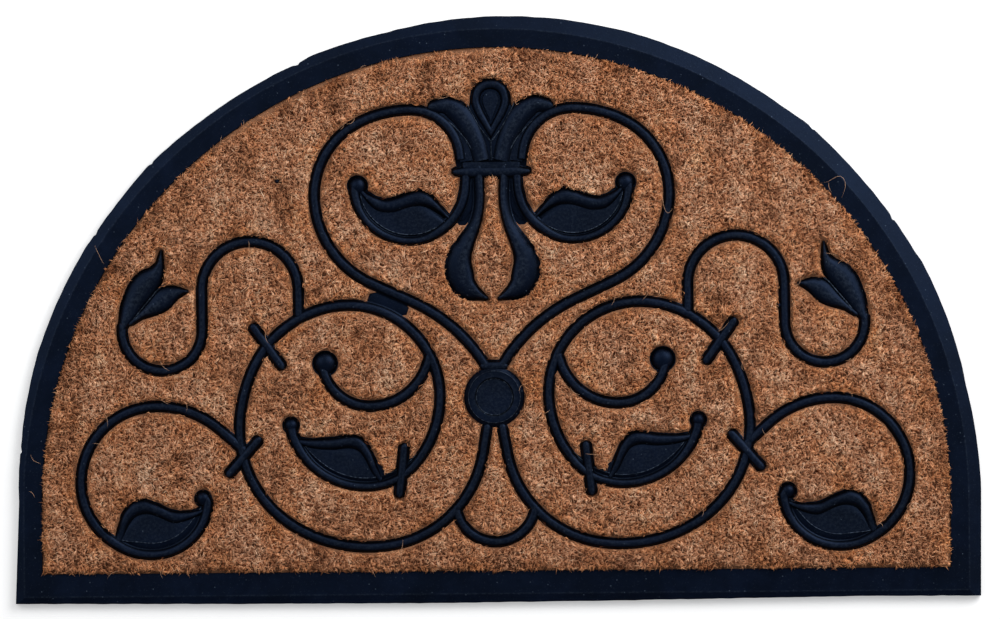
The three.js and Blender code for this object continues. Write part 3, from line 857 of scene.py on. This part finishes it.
def ground_finish():
    """Deep matted coir between the loose ends, painted darker than the fibres, partly as painted shade of
    the deep pile.
    """
    material, tree, shader, add = nodes_of("matted_coir", 0.9, 0.1)
    fine = noise(add, 1150, 5, 0.75, 1.5)
    brown = ramp(add, fine, (0.36, (0.3, 0.13, 0.065)), (0.52, (0.42, 0.2, 0.105)),
                 (0.66, (0.55, 0.3, 0.17)))
    shade = ramp(add, noise(add, 45, 4, 0.65), (0.34, (0.6, 0.58, 0.6)), (0.66, (1, 1, 1)))
    dress(tree, add, shader, mixed(add, "MULTIPLY", 1, brown, shade), fine, 0.5, 0.8 * MM)
    return material


ground_coir = ground_finish()


def finish_coir(piece, material):
    """Gives a coir piece its material and fixes it to the mat."""
    piece.data.materials.clear()
    piece.data.materials.append(material)
    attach(piece, "root")


def ground_piece(node):
    """The matted coir of one field: its solid, lowered to lie under the loose ends."""
    name = node.replace("coir", "coir_ground")
    piece = linked(name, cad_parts[node].data.copy())
    piece.data.name = name
    edit(piece)
    bpy.ops.mesh.remove_doubles(threshold=WELD)
    bpy.ops.mesh.dissolve_limited(angle_limit=FLAT)
    mesh = bmesh.from_edit_mesh(piece.data)
    for vertex in mesh.verts:
        vertex.select_set(vertex.co.z > (PILE_BOTTOM + PILE_TOP) / 2)
    mesh.select_flush_mode()
    bpy.ops.transform.translate(value=(0, 0, GROUND_TOP - PILE_TOP))
    bpy.ops.object.mode_set(mode="OBJECT")
    finish_coir(piece, ground_coir)
    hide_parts(node)
    return piece


# ---- Loose coir -----------------------------------------------------------------------------------
# The pile that is seen and felt: stiff coconut fibres, brushed every way, brown and straw coloured, redder
# and darker near the rubber, with painted shade in its pits and right beside the ribs.  They stop short of
# the ribs and straggle over the border.
FIELDS = {  # how many fibres each field has, and in how many pieces
    "coir_outer_field": (104000, 4),
    "coir_heart_field": (18800, 1),
    "coir_left_wheel": (17000, 1),
    "coir_drop_field": (1750, 1),
}
FIBRE_LONG, LONG_SPREAD, LONG_LIMITS = 5.2 * MM, 0.28, (0.5, 1.9)
FIBRE_THICK, THICK_SPREAD, THICK_LIMITS = 0.27 * MM, 0.3, (0.5, 2)
FIBRE_RISE = math.radians(24)
SPREAD_RISE = math.radians(15)
RISE_AT_EDGE = 0.25
RISE_LIMITS = (0.06, 1.3)
LONG_ONES = 0.1  # share of the fibres that are long and pale
LONG_ONES_LONG = 1.5
BUNDLES = 0.3  # share of the fibres that are matted bundles, thick and lying flat under the rest
BUNDLE_THICK = 3.6
# How wide the patches are that lean one way, straggle, stand deep or high, and look pale or red.
LEAN_PATCH, STRAGGLE_PATCH, PIT_PATCH, SWELL_PATCH = 9 * MM, 16 * MM, 2.3 * MM, 7 * MM
TONE_PATCH, WARM_PATCH = 26 * MM, 22 * MM
PATCH_RANGE = (1.2, 2.8)
LEAN_SPREAD, OUTWARD_SPREAD = 1.1, 0.8
SWELL_HIGH, PIT_HIGH, LONG_HIGH, BUNDLE_DEEP = 0.4, 0.5, 0.5, 2.3  # mm
BEND_SPREAD = 0.07
ARCHED = (0.02, 0.14)
EDGE_REACH = 5 * MM  # how far from the rubber the pile looks and stands differently
BORDER_NEAR = 1.5 * MM
BORDER_COMB = 3 * MM
RIB_CLEAR = 0.55 * MM
RIB_STRAGGLE = 0.45 * MM
BALL_NEAR = 3 * MM
BALL_CLEAR = 1 * MM
DRAWN_BACK = 1.2 * MM
MISFIT = 0.4 * MM  # how far past its limit a fibre may still reach, or it is left out
BORDER_OVERHANG = 1.9 * MM
BORDER_WANDER = 1 * MM
# Degrees round the arch's middle, and how many mm the pile leans over the border there.
REACH_AT = (-180, -172, -165, -150, -30, -15, -8, 0, 15, 40, 65, 78, 90, 115, 128, 145, 160, 180)
REACH_OUT = (0.8, -0.3, -0.3, 1.6, 1.6, -0.3, -0.3, 2, 1.6, 2.6, 2.2, 0, -1.4, -2.4, -1.8, -0.2, 0.6, 0.8)
# A middling fibre's tone and warmth, and how much each thing adds to them.
# The swell, pit and high entries paint fibres paler high in the pile and darker deep in it: painted light
# and shade.
TONE = {"middle": 0.53, "spread": 0.045, "patch": 0.08, "swell": 0.06, "pit": 0.04, "high": 0.03,
        "long": 0.14, "edge": -0.08}
WARM = {"middle": 0.24, "spread": 0.14, "patch": 0.16, "edge": 0.55}
RIM_SHADE, RIM_SHADE_REACH = 0.45, 1.3 * MM  # fibres right beside a rib painted dark: painted shade
FRINGE_DARK, FRINGE_REACH = 0.2, 12 * MM
THREE_SIDES = np.radians((90, 210, 330))
ENDS_PALER = (-0.1, 0, 0, 0, 0.08)  # tone from a fibre's root over its three sides to its tip


def coir_finish():
    """Coconut fibre: tone runs from dark brown to straw, and warm fibres are redder."""
    material, tree, shader, add = nodes_of("coir_fibre", 0.75, 0.25)
    tone, warm = value_of(add, "tone"), value_of(add, "warm")
    brown = ramp(add, tone, (0, (0.2, 0.065, 0.027)), (0.45, (0.72, 0.365, 0.2)), (1, (0.98, 0.72, 0.5)))
    red = ramp(add, tone, (0, (0.2, 0.055, 0.018)), (0.5, (0.74, 0.31, 0.12)), (1, (0.96, 0.6, 0.33)))
    dress(tree, add, shader, mixed(add, "MIX", warm, brown, red))
    return material


coir = coir_finish()


def mottle(points, size, waves=10):
    """A soft random pattern over the mat, about -1 to 1, with patches of about that size."""
    total = np.zeros(len(points))
    for _ in range(waves):
        direction = rng.uniform(0, 2 * math.pi)
        turns = 2 * math.pi / (size * rng.uniform(*PATCH_RANGE))
        run = points[:, 0] * math.cos(direction) + points[:, 1] * math.sin(direction)
        total += np.cos(run * turns + rng.uniform(0, 2 * math.pi))
    return total / math.sqrt(waves / 2)


def top_of(node):
    """Triangles of a field's top as corner points, and points along its edge with their way out."""
    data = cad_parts[node].data
    data.calc_loop_triangles()
    corners = points_of(data)[np.array([list(tri.vertices) for tri in data.loop_triangles])]
    corners = corners[(corners[:, :, 2] > (PILE_BOTTOM + PILE_TOP) / 2).all(axis=1)][:, :, :2]
    _, merged = np.unique(np.round(corners.reshape(-1, 2) / WELD), axis=0, return_inverse=True)
    owner = {}
    for triangle, names in zip(corners, merged.reshape(-1, 3)):
        for start in range(3):
            pair = frozenset((names[start], names[(start + 1) % 3]))
            edge = (triangle[start], triangle[(start + 1) % 3], triangle.mean(axis=0))
            owner.setdefault(pair, []).append(edge)
    places, ways = [], []
    for users in owner.values():
        if len(users) > 1:
            continue
        start, end, inside = users[0]
        along = end - start
        out = np.array([along[1], -along[0]]) / np.linalg.norm(along)
        if (inside - start) @ out > 0:
            out = -out
        count = max(2, math.ceil(np.linalg.norm(along) / MM))
        for share in (np.arange(count) + 0.5) / count:
            places.append(start + along * share)
            ways.append(out)
    return corners, np.array(places), np.array(ways)


def sides_of(corners):
    """Two sides of each triangle, from its first corner, and its area."""
    sides = corners[:, 1:] - corners[:, :1]
    return sides, np.abs(sides[:, 0, 0] * sides[:, 1, 1] - sides[:, 0, 1] * sides[:, 1, 0]) / 2


def strewn(corners, count):
    """Random spots, spread evenly over triangles."""
    sides, areas = sides_of(corners)
    chosen = rng.choice(len(corners), count, p=areas / areas.sum())
    u, v = rng.random((2, count))
    folded = u + v > 1
    u[folded], v[folded] = 1 - u[folded], 1 - v[folded]
    return corners[chosen, 0] + sides[chosen, 0] * u[:, None] + sides[chosen, 1] * v[:, None]


def to_border(points):
    """How far each point lies inside the edge of the rubber border."""
    return inside_of(points, CREASE_HALF - LAND_WIDE, CREASE_BASE + LAND_WIDE + BASE_LAND_EXTRA)


def from_balls(spots):
    """How far points lie from the nearest ball end, and the way out from it."""
    nearest = np.full(len(spots), 1.0)
    ways = np.zeros_like(spots)
    for x, y, radius in BALLS:
        for side in SIDES:
            away = spots - placed([(x, y)], side)[0]
            far = np.linalg.norm(away, axis=1)
            closer = far - radius * MM < nearest
            nearest = np.where(closer, far - radius * MM, nearest)
            ways[closer] = away[closer] / far[closer, None]
    return nearest, ways


def half_along(reach, ways):
    """How far fibres reach either side of their middles, along some ways."""
    return np.abs((reach * ways).sum(axis=1)) / 2


def pile_of(corners, edge_places, edge_ways, count):
    """Roots, middles and tips of a field's fibres, with their thickness, tone and warmth."""
    tree = KDTree(len(edge_places))
    for index, (x, y) in enumerate(edge_places):
        tree.insert((x, y, 0), index)
    tree.balance()

    def to_edge(points):
        """The way out at the nearest place on the edge, and how far inside it points lie."""
        index = np.array([tree.find((x, y, 0))[1] for x, y in points])
        ways = edge_ways[index]
        gap = points - edge_places[index]
        far = np.linalg.norm(gap, axis=1)
        return ways, np.where((gap * ways).sum(axis=1) > 0, -far, far)

    # Where each fibre lies, which way it leans, and how long, thick and steep it is.
    spots = strewn(corners, count)
    out, inside = to_edge(spots)
    inside = np.abs(inside)
    at_border = to_border(spots) < inside + BORDER_NEAR
    edge = np.exp(-inside / EDGE_REACH)
    lean = math.pi * mottle(spots, LEAN_PATCH) + rng.normal(0, LEAN_SPREAD, count)
    outward = np.arctan2(out[:, 1], out[:, 0]) + rng.normal(0, OUTWARD_SPREAD, count)
    lean = np.where(at_border & (rng.random(count) < np.exp(-inside / BORDER_COMB)), outward, lean)
    kind = rng.random(count)
    long_one = kind < LONG_ONES
    bundle = kind > 1 - BUNDLES
    thick = FIBRE_THICK * np.clip(rng.lognormal(0, THICK_SPREAD, count), *THICK_LIMITS)
    thick = thick * np.where(bundle, BUNDLE_THICK, 1)
    rise = rng.normal(FIBRE_RISE, SPREAD_RISE, count) + RISE_AT_EDGE * edge
    rise = np.clip(rise, *RISE_LIMITS)
    rise = np.where(bundle, rise / 3, rise)
    long = FIBRE_LONG * np.clip(rng.lognormal(0, LONG_SPREAD, count), *LONG_LIMITS)
    long = long * np.where(long_one, LONG_ONES_LONG, 1)
    reach = (long * np.cos(rise))[:, None] * np.column_stack([np.cos(lean), np.sin(lean)])

    # How far past the field's edge it may reach.  It is drawn back if it goes further.
    round_arch = np.degrees(np.arctan2(spots[:, 1] - ARCH_Y, spots[:, 0] - MOULD_X))
    straggle = rng.exponential(BORDER_OVERHANG, count) - MM + BORDER_WANDER * mottle(spots, STRAGGLE_PATCH)
    straggle += np.interp(round_arch, REACH_AT, REACH_OUT) * MM
    allowed = np.where(at_border, straggle, rng.normal(-RIB_CLEAR, RIB_STRAGGLE, count))
    allowed = np.where(from_balls(spots)[0] < BALL_NEAR, BALL_CLEAR, allowed)
    plump = np.where(bundle, thick, 0)
    beyond = half_along(reach, out) + plump - inside - allowed
    over = np.where(beyond > 0, beyond + rng.random(count) * DRAWN_BACK, 0)
    spots = spots - out * over[:, None]
    far, way = from_balls(spots)
    over = BALL_CLEAR + half_along(reach, way) + plump - far
    spots = spots + way * np.maximum(over, 0)[:, None]
    new_out, new_inside = to_edge(spots)
    fits = half_along(reach, new_out) + plump - new_inside - allowed < MISFIT

    # Its height, in a pile with pits and swells, and its bend.
    pits = mottle(spots, PIT_PATCH, 30)
    swell = mottle(spots, SWELL_PATCH, 20)
    height = PILE_TOP + MM * (SWELL_HIGH * swell + PIT_HIGH * pits - np.abs(rng.normal(0, 1, count)))
    height += MM * (LONG_HIGH * long_one - BUNDLE_DEEP * bundle)
    roots = np.column_stack([spots - reach / 2, np.maximum(height - long * np.sin(rise), PILE_BOTTOM + MM)])
    tips = np.column_stack([spots + reach / 2, height])
    middles = (roots + tips) / 2
    bend = rng.normal(0, BEND_SPREAD, count) * long
    middles[:, :2] += np.column_stack([-np.sin(lean), np.cos(lean)]) * bend[:, None]
    middles[:, 2] += long * rng.uniform(*ARCHED, count)

    # Its colour: painted paler where it stands high and darker in the pits, as painted light and shade,
    # painted dark right beside the ribs as painted shade, and darker near the rubber and the border.
    tone = rng.normal(TONE["middle"], TONE["spread"], count) + TONE["patch"] * mottle(spots, TONE_PATCH)
    tone += TONE["swell"] * swell + TONE["pit"] * pits + TONE["high"] * (height - PILE_TOP) / MM
    tone += TONE["long"] * long_one + TONE["edge"] * edge
    tone -= RIM_SHADE * np.exp(-np.maximum(new_inside, 0) / RIM_SHADE_REACH) * ~at_border
    tone -= FRINGE_DARK * np.exp(-np.maximum(to_border(spots), 0) / FRINGE_REACH)
    warm = rng.normal(WARM["middle"], WARM["spread"], count) + WARM["patch"] * mottle(spots, WARM_PATCH)
    warm += WARM["edge"] * edge
    return [values[fits] for values in (roots, middles, tips, thick, tone, warm)]


def coir_piece(name, points, faces, tone, warm):
    """A mesh of fibres with a tone and a warmth at each point."""
    data = bpy.data.meshes.new(name)
    data.from_pydata(points, [], faces)
    set_values(data, "tone", np.clip(tone, 0, 1))
    set_values(data, "warm", np.clip(warm, 0, 1))
    data.polygons.foreach_set("use_smooth", np.ones(len(faces), bool))
    piece = linked(name, data)
    finish_coir(piece, coir)
    return piece


def fibre_piece(name, roots, middles, tips, thick, tone, warm):
    """One mesh of many closed fibres, each thickest at its middle and pointed at its ends."""
    along = tips - roots
    along /= np.linalg.norm(along, axis=1)[:, None]
    across = np.cross(along, (0, 0, 1))
    across /= np.linalg.norm(across, axis=1)[:, None]
    up = np.cross(across, along)
    spokes = [middles + thick[:, None] * (math.cos(turn) * across + math.sin(turn) * up)
              for turn in THREE_SIDES]
    points = np.stack([roots, *spokes, tips], axis=1).reshape(-1, 3)
    pattern = np.array([(0, 2, 1), (0, 3, 2), (0, 1, 3), (4, 1, 2), (4, 2, 3), (4, 3, 1)])
    faces = (pattern[None] + 5 * np.arange(len(roots))[:, None, None]).reshape(-1, 3)
    return coir_piece(name, points, faces, tone[:, None] + np.array(ENDS_PALER), np.repeat(warm, 5))


for node, (count, split) in FIELDS.items():
    ground = ground_piece(node)
    top = top_of(node)
    rows = pile_of(*top, count)
    name = node.replace("coir", "coir_pile")
    for number, part in enumerate(np.array_split(np.argsort(rows[0][:, 0]), split), 1):
        fibre_piece(f"{name}_{number}" if split > 1 else name, *(row[part] for row in rows))

# ---- Strays ---------------------------------------------------------------------------------------
# Long loose hairs of coir lie curled over the pile, the ribs and the border.  A crumb of rubber is
# caught in the pile, and a bead of flash, left by the mould, sticks to one tendril.
HAIRS = (
    ((253, 96), (258, 97), (263, 100), (268, 101), (271, 94), (268, 84)),
    ((258, 96), (258, 92), (260, 89)),
    ((-311, 52), (-308, 45), (-304, 37)),
    ((-362, -110), (-360, -114), (-354, -117)),
    ((-364, -138), (-361, -139), (-359, -143)),
    ((129, 89), (130, 79), (133, 73), (137, 77)),
)
HAIR_STATIONS = 12
HAIR_THIN = 0.11 * MM
HAIR_TAPER = 4
HAIR_POINT = 0.25
HAIR_LIFT = 1.2 * MM
HAIR_TONE, HAIR_WARM = 0.65, 0.1
MORE_HAIRS = 40
MORE_POINTS = 4
MORE_STEP = (2, 4.5)
MORE_CURL = 0.7
CRUMB = (-166.3, 100.2, 3.1)
CRUMB_TOP = PILE_TOP + 1.7 * MM
BEAD = (221.5, -1, 3)


def hair(points):
    """The points of a closed thin tube along a soft curve, arched up from its ends, and its faces."""
    line = share_of(curve_of(points), count=HAIR_STATIONS)
    share = np.linspace(0, 1, HAIR_STATIONS)
    height = PILE_TOP + HAIR_LIFT * np.sin(math.pi * share)
    thin = HAIR_THIN * np.clip(HAIR_TAPER * np.minimum(share, 1 - share), HAIR_POINT, 1)
    rings = []
    for turn in THREE_SIDES:
        aside = ways_of(line)[1] * (thin * math.cos(turn))[:, None]
        rings.append(np.column_stack([line * MM + aside, height + thin * math.sin(turn)]))
    tube = np.stack(rings, axis=1).reshape(-1, 3)
    faces = [(start + side, start + (side + 1) % 3, start + 3 + (side + 1) % 3, start + 3 + side)
             for start in range(0, len(tube) - 3, 3) for side in range(3)]
    return tube, faces + [(2, 1, 0), tuple(range(len(tube) - 3, len(tube)))]


def add_hairs():
    """The hairs set out above, and many shorter ones strewn over the pile and its edge."""
    starts = top_of("coir_outer_field")[1] / MM
    paths = [np.array(row, float) for row in HAIRS]
    for x, y in starts[rng.integers(0, len(starts), MORE_HAIRS)]:
        way, turn, step = rng.uniform(0, 2 * math.pi), rng.normal(0, MORE_CURL), rng.uniform(*MORE_STEP)
        ways = way + turn * np.arange(MORE_POINTS)
        path = np.cumsum(np.column_stack([np.cos(ways), np.sin(ways)]) * step, axis=0)
        paths.append(path + (x, y) - path.mean(axis=0))
    points, faces = [], []
    for path in paths:
        tube, sides = hair(path)
        faces += [tuple(corner + len(points) for corner in face) for face in sides]
        points += tube.tolist()
    count = len(points)
    coir_piece("stray_hairs", points, faces, np.full(count, HAIR_TONE), np.full(count, HAIR_WARM))


add_hairs()
joined([ball(*BEAD, 1, RIB_TOP), ball(*CRUMB, 1, CRUMB_TOP)], "rubber_crumbs")

# ---- Floor, light and camera ----------------------------------------------------------------------
# A plain white floor under soft light: an even sky, a broad lamp beyond the arch at the right, and a
# weaker one at the left.  The camera looks straight down.
FLOOR_SIZE = 6
FLOOR_GLOW = 0.35
LENS = 200
SENSOR = 36
VIEW_WIDTH = 0.7748
VIEW_MIDDLE = (2.5 * MM, -0.2 * MM)
CAMERA_ROLL = math.radians(-0.475)
SKY = 0.24
LAMPS = (((1.35, 1.4, 1.3), 2, 60), ((-1.5, 0.9, 1.7), 1.6, 17))  # place, size and watts

floor = primitive("plane", size=FLOOR_SIZE)
floor.name = "floor"
white, tree, shader, add = nodes_of("white_floor", 0.9, 0)
shader.inputs["Base Color"].default_value = (0.9, 0.9, 0.9, 1)
shader.inputs["Emission Color"].default_value = (1, 1, 1, 1)
path = add("ShaderNodeLightPath").outputs
seen = reckon(add, "MAXIMUM", path["Is Camera Ray"], path["Is Glossy Ray"])
through = reckon(add, "MAXIMUM", seen, path["Is Transmission Ray"])
tree.links.new(reckon(add, "MULTIPLY", through, FLOOR_GLOW), shader.inputs["Emission Strength"])
floor.data.materials.append(white)

world = bpy.data.worlds.new("even_sky")
bpy.context.scene.world = world
world.use_nodes = True
sky = world.node_tree.nodes["Background"].inputs
sky["Color"].default_value = (0.93, 0.96, 1, 1)
sky["Strength"].default_value = SKY

for number, (place, size, watts) in enumerate(LAMPS, 1):
    light = bpy.data.lights.new(f"soft_box_{number}", "AREA")
    light.energy = watts
    light.size = size
    lamp = linked(light.name, light)
    lamp.location = place
    lamp.rotation_euler = (-Vector(place)).to_track_quat("-Z", "Y").to_euler()

lens = bpy.data.cameras.new("camera")
lens.lens = LENS
lens.sensor_width = SENSOR
camera = linked("camera", lens)
camera.location = (*VIEW_MIDDLE, PILE_TOP + VIEW_WIDTH * LENS / SENSOR)
camera.rotation_euler = (0, 0, CAMERA_ROLL)
bpy.context.scene.camera = camera
bpy.context.scene.view_settings.view_transform = "Standard"
